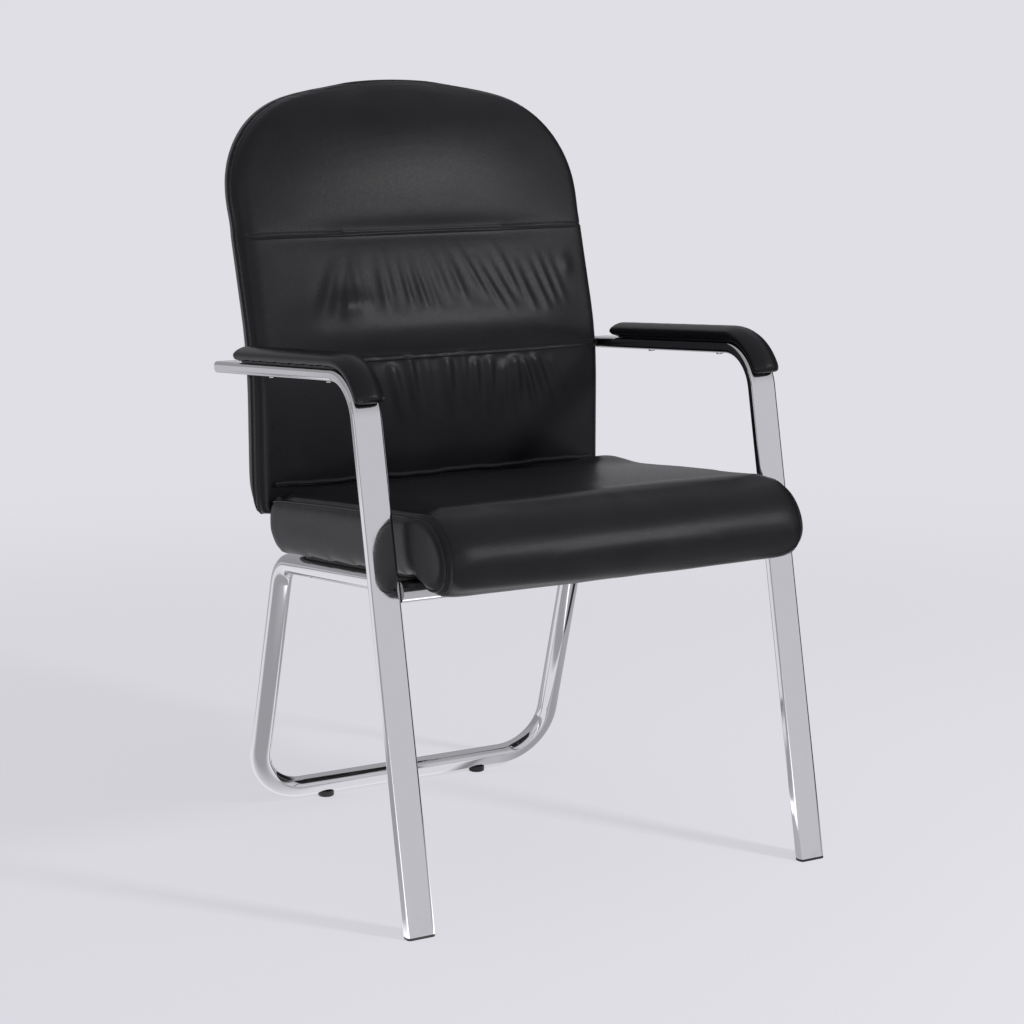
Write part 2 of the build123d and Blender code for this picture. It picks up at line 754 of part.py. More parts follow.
for name, side in sides.items():
    shift = Pos(side * frame_half_span, 0, 0)
    nodes[f"{name}_side_frame"] = shift * frame_tube
    nodes[f"{name}_front_foot"] = shift * foot
    nodes[f"{name}_arm_end_plate"] = shift * end_plate
    nodes[f"{name}_arm_pad"] = shift * pad
    nodes[f"{name}_arm_pad_core"] = shift * core
    nodes[f"{name}_arm_pad_screws"] = [shift * site * screw for site in screw_sites()]
    nodes[f"{name}_arm_tab"] = arm_tab(side)
    nodes[f"{name}_back_bracket"] = back_bracket(side)
    nodes[f"{name}_rear_glide"] = rear_glide(side)
    seat_side_bolt = short_bolt(bracket_thickness, base_thickness)
    back_side_bolt = short_bolt(bracket_thickness, board_thickness)
    tab_bolt = short_bolt(tab_thickness + tab_gap, board_thickness)
    nodes["bracket_seat_bolts"] += [site * seat_side_bolt for site in bracket_seat_sites(side)]
    nodes["bracket_back_bolts"] += [site * back_side_bolt for site in bracket_back_sites(side)]
    nodes["arm_tab_bolts"] += [site * tab_bolt for site in tab_bolt_sites(side)]

# The part stands with the middle of its footprint at the origin
solids = {}
for name, shape in nodes.items():
    pieces = shape if isinstance(shape, list) else [shape]
    solids[name] = [solid for piece in pieces for solid in piece.solids()]
whole = Compound([solid for group in solids.values() for solid in group]).bounding_box()
centre = Pos(-whole.center().X, -whole.center().Y, -whole.min.Z)

os.makedirs("parts", exist_ok=True)
for name, group in solids.items():
    export_step(centre * Compound(group), f"parts/{name}.step")
print(f"{len(solids)} nodes, {whole.size.X:.0f} x {whole.size.Y:.0f} x {whole.size.Z:.0f} mm")
print(f"footprint centre {whole.center().Y:.2f} mm behind the front feet")
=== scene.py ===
import json
import math
import random

import bmesh
import bpy
import numpy as np
from mathutils import Matrix, Vector
from mathutils.bvhtree import BVHTree


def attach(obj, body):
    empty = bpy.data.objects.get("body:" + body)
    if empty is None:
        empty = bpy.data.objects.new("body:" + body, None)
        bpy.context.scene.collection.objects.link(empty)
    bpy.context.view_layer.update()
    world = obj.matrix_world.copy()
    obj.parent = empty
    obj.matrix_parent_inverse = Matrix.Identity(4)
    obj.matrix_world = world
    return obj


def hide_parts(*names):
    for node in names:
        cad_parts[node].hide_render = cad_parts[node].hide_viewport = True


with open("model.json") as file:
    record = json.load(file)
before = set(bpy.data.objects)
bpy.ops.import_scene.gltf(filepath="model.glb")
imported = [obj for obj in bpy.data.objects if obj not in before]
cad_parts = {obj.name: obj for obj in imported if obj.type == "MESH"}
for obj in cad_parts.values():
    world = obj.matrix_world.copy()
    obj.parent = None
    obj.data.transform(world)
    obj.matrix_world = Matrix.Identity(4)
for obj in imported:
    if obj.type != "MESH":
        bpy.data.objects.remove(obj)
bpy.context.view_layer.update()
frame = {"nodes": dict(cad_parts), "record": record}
nodes = frame["nodes"]
scene = bpy.context.scene
scene.view_settings.view_transform = "Standard"
random.seed(11)
print("frame loaded:", len(nodes), "nodes")

# The camera stands where the photograph was taken from, to the right of the sitter
shot = {
    "place": (-1.6533, -2.7939, 1.0278),
    "azimuth": -30.838,      # degrees round the chair, 0 looks along +Y
    "elevation": 10.26,      # degrees, looking down
    "lens": 88.23,           # mm
    "sensor": 36.0,          # mm
}


def makeCamera():
    turn, rise = math.radians(shot["azimuth"]), math.radians(shot["elevation"])
    look = -Vector((math.sin(turn) * math.cos(rise), -math.cos(turn) * math.cos(rise), math.sin(rise)))
    data = bpy.data.cameras.new("camera")
    data.sensor_width = shot["sensor"]
    data.lens = shot["lens"]
    camera = bpy.data.objects.new("camera", data)
    camera.location = shot["place"]
    camera.rotation_euler = look.to_track_quat("-Z", "Y").to_euler()
    scene.collection.objects.link(camera)
    scene.camera = camera


makeCamera()


# Materials

def linear(hexColour):
    # sRGB hex to the linear RGBA that Blender's sockets take
    parts = [int(hexColour[i:i + 2], 16) / 255 for i in (1, 3, 5)]
    return [c / 12.92 if c <= 0.04045 else ((c + 0.055) / 1.055) ** 2.4 for c in parts] + [1.0]


def addNode(tree, kind, settings={}, values={}, links={}):
    node = tree.nodes.new("ShaderNode" + kind)
    for name, value in settings.items():
        setattr(node, name, value)
    for socket, value in values.items():
        node.inputs[socket].default_value = value
    for socket, source in links.items():
        tree.links.new(source, node.inputs[socket])
    return node


def newMaterial(name):
    material = bpy.data.materials.new(name)
    material.use_nodes = True
    material.node_tree.nodes.clear()
    return material, material.node_tree


def perMetre(millimetres):
    # texture scale for a pattern that repeats at this many millimetres
    return 1000.0 / millimetres


def chromePlate():
    # chromium over polished steel tube: a mirror with a faint ripple and hazy polishing marks
    material, tree = newMaterial("chromePlatedTube")
    place = addNode(tree, "TexCoord")
    ripple = addNode(tree, "TexNoise", values={"Scale": perMetre(60), "Detail": 1.0},
                     links={"Vector": place.outputs["Object"]})
    haze = addNode(tree, "TexNoise", values={"Scale": perMetre(9), "Detail": 4.0},
                   links={"Vector": place.outputs["Object"]})
    polish = addNode(tree, "MapRange",
                     values={"From Min": 0.35, "From Max": 0.75, "To Min": 0.05, "To Max": 0.1},
                     links={"Value": haze.outputs["Fac"]})
    bump = addNode(tree, "Bump", values={"Strength": 0.02, "Distance": 0.002},
                   links={"Height": ripple.outputs["Fac"]})
    shader = addNode(tree, "BsdfPrincipled", values={"Base Color": linear("#cacacb"), "Metallic": 1.0},
                     links={"Roughness": polish.outputs["Result"], "Normal": bump.outputs["Normal"]})
    addNode(tree, "OutputMaterial", links={"Surface": shader.outputs["BSDF"]})
    return material


def embossedLeatherette():
    # polyurethane on cloth, embossed with a fine pebble: near black, with a soft broad gloss
    material, tree = newMaterial("embossedBlackLeatherette")
    place = addNode(tree, "TexCoord")
    pebble = addNode(tree, "TexVoronoi", {"feature": "SMOOTH_F1"},
                     values={"Scale": perMetre(1.6), "Smoothness": 0.6},
                     links={"Vector": place.outputs["Object"]})
    crease = addNode(tree, "TexNoise", values={"Scale": perMetre(4.5), "Detail": 5.0, "Roughness": 0.6},
                     links={"Vector": place.outputs["Object"]})
    cloud = addNode(tree, "TexNoise", values={"Scale": perMetre(70), "Detail": 2.0},
                    links={"Vector": place.outputs["Object"]})
    grain = addNode(tree, "Math", {"operation": "MULTIPLY_ADD"}, values={1: 0.6},
                    links={0: crease.outputs["Fac"], 2: pebble.outputs["Distance"]})
    bump = addNode(tree, "Bump", values={"Strength": 0.11, "Distance": 0.0006},
                   links={"Height": grain.outputs["Value"]})
    tint = addNode(tree, "ValToRGB", links={"Fac": cloud.outputs["Fac"]})
    tint.color_ramp.elements[0].position = 0.3
    tint.color_ramp.elements[0].color = linear("#121214")
    tint.color_ramp.elements[1].position = 0.75
    tint.color_ramp.elements[1].color = linear("#17171a")
    gloss = addNode(tree, "MapRange",
                    values={"From Min": 0.3, "From Max": 0.7, "To Min": 0.27, "To Max": 0.34},
                    links={"Value": crease.outputs["Fac"]})
    shader = addNode(tree, "BsdfPrincipled",
                     values={"IOR": 1.5, "Specular IOR Level": 0.21},
                     links={"Base Color": tint.outputs["Color"], "Roughness": gloss.outputs["Result"],
                            "Normal": bump.outputs["Normal"]})
    addNode(tree, "OutputMaterial", links={"Surface": shader.outputs["BSDF"]})
    return material


def mouldedPlastic():
    # black polypropylene from a spark-eroded mould: satin, with a fine even texture
    material, tree = newMaterial("mouldedBlackPolypropylene")
    place = addNode(tree, "TexCoord")
    spark = addNode(tree, "TexNoise", values={"Scale": perMetre(0.9), "Detail": 3.0},
                    links={"Vector": place.outputs["Object"]})
    satin = addNode(tree, "MapRange", values={"To Min": 0.42, "To Max": 0.58},
                    links={"Value": spark.outputs["Fac"]})
    bump = addNode(tree, "Bump", values={"Strength": 0.15, "Distance": 0.0003},
                   links={"Height": spark.outputs["Fac"]})
    shader = addNode(tree, "BsdfPrincipled", values={"Base Color": linear("#161617"), "IOR": 1.49},
                     links={"Roughness": satin.outputs["Result"], "Normal": bump.outputs["Normal"]})
    addNode(tree, "OutputMaterial", links={"Surface": shader.outputs["BSDF"]})
    return material


def powderCoat():
    # black powder paint baked on flat steel bar: low gloss with orange peel
    material, tree = newMaterial("blackPowderCoatedSteel")
    place = addNode(tree, "TexCoord")
    peel = addNode(tree, "TexNoise", values={"Scale": perMetre(1.8), "Detail": 2.0},
                   links={"Vector": place.outputs["Object"]})
    gloss = addNode(tree, "MapRange", values={"To Min": 0.36, "To Max": 0.5},
                    links={"Value": peel.outputs["Fac"]})
    bump = addNode(tree, "Bump", values={"Strength": 0.25, "Distance": 0.0003},
                   links={"Height": peel.outputs["Fac"]})
    shader = addNode(tree, "BsdfPrincipled", values={"Base Color": linear("#19191a"), "IOR": 1.52},
                     links={"Roughness": gloss.outputs["Result"], "Normal": bump.outputs["Normal"]})
    addNode(tree, "OutputMaterial", links={"Surface": shader.outputs["BSDF"]})
    return material


def stainedPlywood():
    # birch plywood stained black: dull, with the grain and the plies just showing through
    material, tree = newMaterial("blackStainedPlywood")
    place = addNode(tree, "TexCoord")
    along = addNode(tree, "Mapping", values={"Scale": (1.0, 0.08, 1.0)},
                    links={"Vector": place.outputs["Object"]})
    grain = addNode(tree, "TexNoise", values={"Scale": perMetre(3.0), "Detail": 6.0, "Roughness": 0.65},
                    links={"Vector": along.outputs["Vector"]})
    tint = addNode(tree, "ValToRGB", links={"Fac": grain.outputs["Fac"]})
    tint.color_ramp.elements[0].position = 0.35
    tint.color_ramp.elements[0].color = linear("#0e0d0d")
    tint.color_ramp.elements[1].position = 0.7
    tint.color_ramp.elements[1].color = linear("#221f1d")
    bump = addNode(tree, "Bump", values={"Strength": 0.3, "Distance": 0.0004},
                   links={"Height": grain.outputs["Fac"]})
    shader = addNode(tree, "BsdfPrincipled", values={"Roughness": 0.68, "IOR": 1.5},
                     links={"Base Color": tint.outputs["Color"], "Normal": bump.outputs["Normal"]})
    addNode(tree, "OutputMaterial", links={"Surface": shader.outputs["BSDF"]})
    return material


def zincPlate():
    # clear zinc on pressed and rolled fasteners: pale, cool and slightly blotched
    material, tree = newMaterial("clearZincPlatedSteel")
    place = addNode(tree, "TexCoord")
    blotch = addNode(tree, "TexNoise", values={"Scale": perMetre(4), "Detail": 4.0},
                     links={"Vector": place.outputs["Object"]})
    tint = addNode(tree, "ValToRGB", links={"Fac": blotch.outputs["Fac"]})
    tint.color_ramp.elements[0].color = linear("#9aa0a4")
    tint.color_ramp.elements[1].color = linear("#c3c7c8")
    dull = addNode(tree, "MapRange", values={"To Min": 0.25, "To Max": 0.42},
                   links={"Value": blotch.outputs["Fac"]})
    shader = addNode(tree, "BsdfPrincipled", values={"Metallic": 1.0},
                     links={"Base Color": tint.outputs["Color"], "Roughness": dull.outputs["Result"]})
    addNode(tree, "OutputMaterial", links={"Surface": shader.outputs["BSDF"]})
    return material


def twistedThread():
    # bonded black polyester thread: two plies whose twist shows as slanted ribs, with a waxy sheen
    material, tree = newMaterial("twistedBlackPolyesterThread")
    place = addNode(tree, "TexCoord")
    plies = addNode(tree, "TexWave", {"bands_direction": "DIAGONAL"},
                    values={"Scale": perMetre(1.2) / 20, "Distortion": 0.5},
                    links={"Vector": place.outputs["Object"]})
    bump = addNode(tree, "Bump", values={"Strength": 0.4, "Distance": 0.0002},
                   links={"Height": plies.outputs["Fac"]})
    shader = addNode(tree, "BsdfPrincipled",
                     values={"Base Color": linear("#0d0d0e"), "Roughness": 0.6, "Specular IOR Level": 0.2},
                     links={"Normal": bump.outputs["Normal"]})
    addNode(tree, "OutputMaterial", links={"Surface": shader.outputs["BSDF"]})
    return material


chrome = chromePlate()
leather = embossedLeatherette()
plastic = mouldedPlastic()
paint = powderCoat()
plywood = stainedPlywood()
zinc = zincPlate()
thread = twistedThread()

finishOf = {
    "chromed_tube": chrome,
    "bright_fasteners": chrome,
    "black_leather": leather,
    "black_plastic": plastic,
    "black_steel": paint,
    "stained_plywood": plywood,
    "zinc_fasteners": zinc,
}


def finishFrame():
    for part in frame["record"]["subparts"]:
        mesh = nodes[part["node"]].data
        mesh.materials.clear()
        mesh.materials.append(finishOf[part["material_slot"]])


finishFrame()
print("finishes on the frame")


# Upholstery: each cover starts from the space of its foam; the back and seat covers swell over it and are then
# drawn in at their seams

def link(name, mesh):
    piece = bpy.data.objects.new(name, mesh)
    scene.collection.objects.link(piece)
    return piece


def solidBody(node):
    body = bmesh.new()
    body.from_mesh(nodes[node].data)
    bmesh.ops.remove_doubles(body, verts=body.verts, dist=1e-6)
    bmesh.ops.recalc_face_normals(body, faces=body.faces)
    return body


def solidTree(node):
    body = solidBody(node)
    tree = BVHTree.FromBMesh(body)
    body.free()
    return tree


def meshTree(piece):
    places = [vertex.co for vertex in piece.data.vertices]
    return BVHTree.FromPolygons(places, [face.vertices for face in piece.data.polygons])


def foamCopy(name, node):
    body = solidBody(node)
    mesh = bpy.data.meshes.new(name)
    body.to_mesh(mesh)
    body.free()
    return link(name, mesh)


def bake(piece):
    graph = bpy.context.evaluated_depsgraph_get()
    mesh = bpy.data.meshes.new_from_object(piece.evaluated_get(graph))
    piece.modifiers.clear()
    mesh.name = piece.name
    piece.data = mesh


def points(piece):
    found = np.empty(len(piece.data.vertices) * 3)
    piece.data.vertices.foreach_get("co", found)
    return found.reshape(-1, 3)


def normals(piece):
    found = np.empty(len(piece.data.vertices) * 3)
    piece.data.vertex_normals.foreach_get("vector", found)
    return found.reshape(-1, 3)


def movePoints(piece, places):
    piece.data.vertices.foreach_set("co", places.ravel())
    piece.data.update()


def hump(distance, width):
    return np.exp(-(distance / width) ** 2)


def ramp(value, low, high):
    share = np.clip((value - low) / (high - low), 0.0, 1.0)
    return share * share * (3 - 2 * share)


def smoothPoints(body, verts, rounds):
    for _ in range(rounds):
        bmesh.ops.smooth_vert(body, verts=verts, factor=0.5,
                              use_axis_x=True, use_axis_y=True, use_axis_z=True)


def voxelCover(piece, voxel, rounds):
    remesh = piece.modifiers.new("voxels", "REMESH")
    remesh.mode = "VOXEL"
    remesh.voxel_size = voxel
    bake(piece)
    body = bmesh.new()
    body.from_mesh(piece.data)
    smoothPoints(body, body.verts, rounds)
    body.to_mesh(piece.data)
    body.free()


def gaps(piece, neighbours, reach):
    # distance from each point to the nearest neighbouring solid, up to a reach
    found = np.full(len(piece.data.vertices), reach)
    for node in neighbours:
        tree = solidTree(node)
        for index, vertex in enumerate(piece.data.vertices):
            near = tree.find_nearest(vertex.co, found[index])
            if near[0] is not None:
                found[index] = near[3]
    return found


def spread(piece, values, rounds):
    # evens a value out over neighbouring points
    edges = np.empty(len(piece.data.edges) * 2, dtype=int)
    piece.data.edges.foreach_get("vertices", edges)
    low, high = edges.reshape(-1, 2).T
    count = np.bincount(edges, minlength=len(values))
    for _ in range(rounds):
        total = np.bincount(low, values[high], len(values)) + np.bincount(high, values[low], len(values))
        values = 0.5 * values + 0.5 * total / count
    return values


# how the back and seat covers are blown up as cloth, and where they are free to move
clothing = {
    "pressure": 4.0,
    "quality": 4,
    "lastFrame": 20,
    "heldBelow": 0.02,         # points less free than this are pinned
    "evening": 6,              # rounds that even the relief out
    "freeGap": (0.003, 0.016),     # gap to a neighbour where a cover starts to move, and where it is quite free
    "closeReach": 0.009,       # how far a neighbour is looked for when the cover is settled on its foam
}


def swell(piece, free, settings):
    # cloth under pressure, started a little smaller; free is how far each point may follow it, from 0 to 1
    places, outward = points(piece), normals(piece)
    rise = np.zeros(len(free))
    movePoints(piece, places - outward * (settings["draw"] * free)[:, None])
    held = piece.vertex_groups.new(name="held")
    held.add([int(index) for index in np.flatnonzero(free < clothing["heldBelow"])], 1.0, "REPLACE")
    cloth = piece.modifiers.new("cover", "CLOTH")
    cloth.settings.quality = clothing["quality"]
    cloth.settings.use_pressure = True
    cloth.settings.uniform_pressure_force = clothing["pressure"]
    cloth.settings.effector_weights.gravity = 0.0
    cloth.settings.vertex_group_mass = "held"
    for step in range(1, clothing["lastFrame"] + 1):
        scene.frame_set(step)
    bake(piece)
    scene.frame_set(1)
    rise = np.sum((points(piece) - places) * outward, axis=1)
    piece.vertex_groups.clear()
    swelling = spread(piece, np.clip(rise, -settings["dip"], settings["cap"]), clothing["evening"])
    movePoints(piece, places + outward * (free * swelling)[:, None])


def finer(piece):
    split = piece.modifiers.new("finer", "SUBSURF")
    split.levels = split.render_levels = 1
    bake(piece)


def settle(piece, node, inner):
    # the inside of a cover lies on its foam's own pocket again
    tree = solidTree(node)
    places = points(piece)
    for index in np.flatnonzero(inner):
        places[index] = tree.find_nearest(Vector(places[index]))[0]
    movePoints(piece, places)


def cover(name, node, neighbours, settings):
    piece = foamCopy(name, node)
    voxelCover(piece, settings["voxel"], settings["smooth"])
    if "hold" in settings:
        free = ramp(gaps(piece, neighbours, clothing["freeGap"][1]), *clothing["freeGap"])
        free *= settings["hold"](points(piece), normals(piece))
        swell(piece, free, settings)
    finer(piece)
    settle(piece, node, gaps(piece, neighbours, clothing["closeReach"]) < settings["close"])
    return piece


def dress(piece, finish):
    for face in piece.data.polygons:
        face.use_smooth = True
    piece.data.materials.clear()
    piece.data.materials.append(finish)
    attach(piece, "root")


# the padded covers, which the softbox's sheet shines on
covers = bpy.data.collections.new("covers")


def finishCover(piece, node):
    dress(piece, leather)
    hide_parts(node)
    covers.objects.link(piece)
    print(piece.name, len(piece.data.polygons), "faces")


def even(path, step):
    # the same line with its points at even steps
    line = np.array([tuple(place) for place in path])
    run = np.concatenate([[0.0], np.cumsum(np.linalg.norm(np.diff(line, axis=0), axis=1))])
    stops = np.linspace(0.0, run[-1], max(2, int(run[-1] / step) + 1))
    columns = [np.interp(stops, run, line[:, axis]) for axis in range(3)]
    return [Vector(place) for place in np.stack(columns, axis=1)]


def piping(name, path, radius, finish):
    data = bpy.data.curves.new(name, "CURVE")
    data.dimensions = "3D"
    data.bevel_depth = radius
    data.bevel_resolution = 2
    data.use_fill_caps = True
    spline = data.splines.new("POLY")
    spline.points.add(len(path) - 1)
    for point, place in zip(spline.points, path):
        point.co = (*place, 1.0)
    wire = link(name + "Line", data)
    graph = bpy.context.evaluated_depsgraph_get()
    mesh = bpy.data.meshes.new_from_object(wire.evaluated_get(graph))
    bpy.data.objects.remove(wire)
    dress(link(name, mesh), finish)


def stitches(name, rows, length, radius):
    # one mesh of short thread capsules along rows of surface points
    body = bmesh.new()
    for row in rows:
        for low, high in zip(row[:-1], row[1:]):
            along = (high - low).normalized()
            turn = along.to_track_quat("Z", "Y").to_matrix().to_4x4()
            size = Matrix.Diagonal((radius, radius, length / 2, 1.0))
            place = Matrix.Translation((low + high) / 2) @ turn @ size
            bmesh.ops.create_uvsphere(body, u_segments=6, v_segments=4, radius=1.0, matrix=place)
    mesh = bpy.data.meshes.new(name)
    body.to_mesh(mesh)
    body.free()
    dress(link(name, mesh), thread)


# The back: three pillows over a bent board, gathered under its two sewn channels

back = {
    "base": 0.17454,             # y of the front seams where the back stands upright
    "bend": 0.440,               # radius of their bend, seen from the side
    "bendStart": 0.57816,
    "lean": math.radians(16.0),
    "half": 0.267,
    "foot": 0.470,
    "top": 0.9975,
    "topRadius": 0.640,
    "cornerRadius": 0.137,
    "split": 0.0212,             # joint of front cover and rear panel, behind the front seams
    "channels": (0.631, 0.7955),
    "facing": (0.25, 0.7),       # how squarely a point has to face forward to be shaped a little, and in full
    "voxel": 0.005, "smooth": 3,
    "cap": 0.0016, "dip": 0.0005,      # how far the cloth rises or sinks at most
    "draw": 0.005,               # how much smaller it starts
    "close": 0.008,              # nearer than this to a neighbour, the cover lies on its foam
    "neighbours": ("back_board", "back_rear_panel", "back_t_nuts", "left_side_frame", "right_side_frame",
                   "seat_cushion"),
}

# where the back's cover is held from swelling: off its front, round its channels and at its foot
backHold = {"facing": (0.45, 0.85), "channel": 0.034, "foot": (0.462, 0.500)}

# lips beside the channels, a thick slightly wavy lip along the foot, and piping round the edge
backSeams = {
    "lipDrop": 0.0020, "lipReach": 0.2600, "lipLift": -0.0002, "lipRadius": 0.0011, "lipStep": 0.004,
    "footLevel": 0.4725, "footReach": 0.247, "footLift": 0.0012, "footRadius": 0.0038,
    "footWaves": ((0.0008, 46), (0.0004, 131)),
    "edgeFoot": 0.452, "edgeRadius": 0.0013, "edgeStep": 0.005,
}
wellInFront = -0.6


def backLine(z, offset):
    # y of a line behind the front seams
    radius = back["bend"] - offset
    rise = z - back["bendStart"]
    turn = np.arcsin(np.clip(rise / radius, 0.0, math.sin(back["lean"])))
    past = np.maximum(0.0, rise - radius * np.sin(turn))
    return back["base"] + back["bend"] - radius * np.cos(turn) + past * np.tan(turn)


def backEdge(offset):
    # outline of the back at a depth behind its front seams, from the left foot over the top to the right foot
    half, corner, arch = back["half"], back["cornerRadius"], back["topRadius"]
    archLow = back["top"] - arch
    cornerLow = archLow + math.sqrt((arch - corner) ** 2 - (half - corner) ** 2)
    tilt = math.atan2(half - corner, cornerLow - archLow)
    side = [(half, z) for z in np.linspace(backSeams["edgeFoot"], cornerLow, 60)]
    bend = [(half - corner + corner * math.cos(a), cornerLow + corner * math.sin(a))
            for a in np.linspace(0.0, math.pi / 2 - tilt, 30)]
    head = [(arch * math.sin(a), archLow + arch * math.cos(a)) for a in np.linspace(tilt, 0.0, 40)]
    flat = side + bend + head
    flat += [(-x, z) for x, z in reversed(flat[:-1])]
    return [Vector((x, float(backLine(z, offset)), z)) for x, z in flat]


def holdBack(places, outward):
    z = places[:, 2]
    free = ramp(-outward[:, 1], *backHold["facing"])
    for level in back["channels"]:
        free *= 1 - hump(z - level, backHold["channel"])
    return free * ramp(z, *backHold["foot"])


# gathers under each channel: x, lean to the right per metre of drop, height and width of the fold in mm
middleFolds = (
    (-0.155, -0.42, 1.0, 8.1), (-0.142, -0.30, 1.2, 6.9), (-0.129, -0.16, 1.5, 6.9), (-0.116, 0.00, 1.4, 6.9),
    (-0.103, 0.10, 1.0, 6.2), (-0.077, 0.05, 1.4, 6.2), (-0.058, 0.12, 1.0, 5.6), (-0.042, 0.14, 1.5, 5.6),
    (-0.023, 0.20, 1.6, 5.6), (-0.006, 0.22, 1.0, 5.6), (0.013, 0.26, 1.1, 6.9), (0.038, 0.30, 1.6, 6.9),
    (0.068, 0.48, 1.4, 6.0), (0.085, 0.50, 1.6, 6.0), (0.104, 0.46, 1.2, 6.2), (0.124, 0.40, 1.2, 6.0),
    (0.141, 0.34, 1.4, 5.8), (0.164, 0.34, 1.4, 6.2), (0.182, 0.30, 1.5, 6.0), (0.200, 0.30, 0.9, 6.2),
)
lowerFolds = (
    (-0.120, 0.10, 1.2, 9.0), (-0.090, 0.20, 1.6, 9.0), (-0.064, 0.22, 3.2, 8.5), (-0.040, 0.16, 3.4, 7.5),
    (-0.018, 0.10, 1.4, 7.5), (0.012, 0.06, 3.6, 9.0), (0.037, 0.05, 2.8, 8.0), (0.055, 0.05, 3.0, 7.0),
    (0.077, 0.02, 3.2, 8.0), (0.098, 0.02, 2.4, 7.5), (0.120, 0.06, 3.8, 9.5), (0.147, 0.30, 3.0, 6.0),
    (0.172, 0.42, 3.0, 8.5), (0.198, 0.40, 1.2, 8.5),
)
lowChannel, highChannel = back["channels"]

# the panels with gathers: rise and fall are shares of the drop over which a fold grows and fades
middlePanel = {
    "top": highChannel, "bottom": lowChannel, "folds": middleFolds,
    "rise": (0.12, 0.46), "fall": (0.48, 0.68),
}
lowerPanel = {
    "top": lowChannel, "bottom": back["foot"], "folds": lowerFolds,
    "rise": (0.015, 0.12), "fall": (0.15, 0.62),
}
gather = {
    "late": 0.07,            # share of the drop by which folds start early or late
    "pivot": 0.4,            # share of the drop where a fold crosses its own x
    "lee": 1.7,              # place of the hollow beside a fold, in widths, and its depth in heights
    "leeDepth": 0.12,
    "end": (0.240, 0.258),   # x where the gathers fade out
}

# the pillows: foot, top, crown and how far the cover stays up beside their channels, from 0 to 1
pillows = (
    (back["foot"], lowChannel, 0.015, 0.80),
    (lowChannel, highChannel, 0.017, 0.72),
    (highChannel, 0.9945, 0.023, 0.48),
)
channelCrown = 0.004


def channelFill(x, z):
    # height of the cover over the foam beside the channels, which it bridges
    total = np.zeros(len(z))
    for low, high, crown, keep in pillows:
        climb = (z - low) / (high - low)
        wave = np.sin(math.pi * np.clip(climb, 0.0, 1.0))
        near = (climb >= 0.0) & (climb < 1.0)
        if low == pillows[0][0]:
            near &= climb > 0.5
        if low == pillows[-1][0]:
            near &= climb < 0.5
        lift = (crown - channelCrown) * (keep + (1 - keep) * wave - np.sqrt(wave))
        total += np.where(near, np.maximum(lift, 0.0), 0.0)
    return total * np.maximum(0.0, 1 - (x / back["half"]) ** 2)


def gathers(x, z, panel):
    # folds that start under a channel, run down aslant and fade into the pillow
    length = panel["top"] - panel["bottom"]
    drop = (panel["top"] - z) / length
    total = np.zeros(len(x))
    for middle, lean, height, width in panel["folds"]:
        late = random.uniform(-gather["late"], gather["late"])
        reach = ramp(drop - late, *panel["rise"]) * (1 - ramp(drop - late, *panel["fall"]))
        away = x - middle - lean * (drop - gather["pivot"]) * length
        wide = width / 1000
        lee = wide * (gather["lee"] if lean > 0 else -gather["lee"])
        total += height / 1000 * reach * (hump(away, wide) - gather["leeDepth"] * hump(away - lee, wide))
    return total


# swellings between the gathers: x, z, half width, half height and height
lumps = ((-0.128, 0.704, 0.026, 0.016, 0.0035), (0.221, 0.742, 0.010, 0.014, 0.0018))

# the middle pillow is fullest low down
fullness = {"level": 0.672, "high": 0.032, "height": 0.0040, "end": (0.17, 0.25)}

# what is left of each channel is a narrow sewn line
sewnLine = {"facing": (0.3, 0.7), "above": 0.0010, "wide": 0.0024, "depth": 0.0018}

# the arch goes on over the middle of the head, where the foam ends flat
headTop = {"rise": 0.0028, "fade": (0.965, 0.993)}


def headArch(x, z):
    return np.maximum(0.0, headTop["rise"] - x * x / (2 * back["topRadius"])) * ramp(z, *headTop["fade"])


def makeBackCover():
    piece = cover("backCushion", "back_cushion", back["neighbours"], back | {"hold": holdBack})
    places, outward = points(piece), normals(piece)
    x, z = places[:, 0], places[:, 2]
    front = ramp(-outward[:, 1], *back["facing"])
    middle = front * (1 - ramp(np.abs(x), *gather["end"]))
    move = middle * sum(gathers(x, z, panel) for panel in (middlePanel, lowerPanel))
    full = fullness["height"] * hump(z - fullness["level"], fullness["high"])
    move += middle * full * (1 - ramp(np.abs(x), *fullness["end"]))
    for across, level, wide, high, height in lumps:
        move += middle * height * hump(x - across, wide) * hump(z - level, high)
    move += front * channelFill(x, z)
    for level in back["channels"]:
        line = hump(z - level - sewnLine["above"], sewnLine["wide"])
        move -= ramp(-outward[:, 1], *sewnLine["facing"]) * sewnLine["depth"] * line
    places += outward * move[:, None]
    places[:, 2] += headArch(x, z)
    movePoints(piece, places)
    finishCover(piece, "back_cushion")
    return piece


backTree = meshTree(makeBackCover())


def frontLine(z, reach, lift):
    # a line across the front of the back at a height, lifted off the cover
    path = []
    for x in np.linspace(-reach, reach, 181):
        hit, normal, _, _ = backTree.ray_cast(Vector((x, wellInFront, z)), Vector((0, 1, 0)))
        path.append(hit + normal * lift)
    return path


def makeBackSeams():
    for number, level in enumerate(back["channels"]):
        lip = frontLine(level - backSeams["lipDrop"], backSeams["lipReach"], backSeams["lipLift"])
        piping(f"backChannelLip{number + 1}", even(lip, backSeams["lipStep"]), backSeams["lipRadius"], leather)
    foot = frontLine(backSeams["footLevel"], backSeams["footReach"], backSeams["footLift"])
    for place in foot:
        place.z += sum(height * math.sin(place.x * waves) for height, waves in backSeams["footWaves"])
    piping("backFootLip", even(foot, backSeams["lipStep"]), backSeams["footRadius"], leather)
    edge = [backTree.find_nearest(place)[0] for place in backEdge(back["split"])]
    piping("backEdgePiping", even(edge, backSeams["edgeStep"]), backSeams["edgeRadius"], leather)


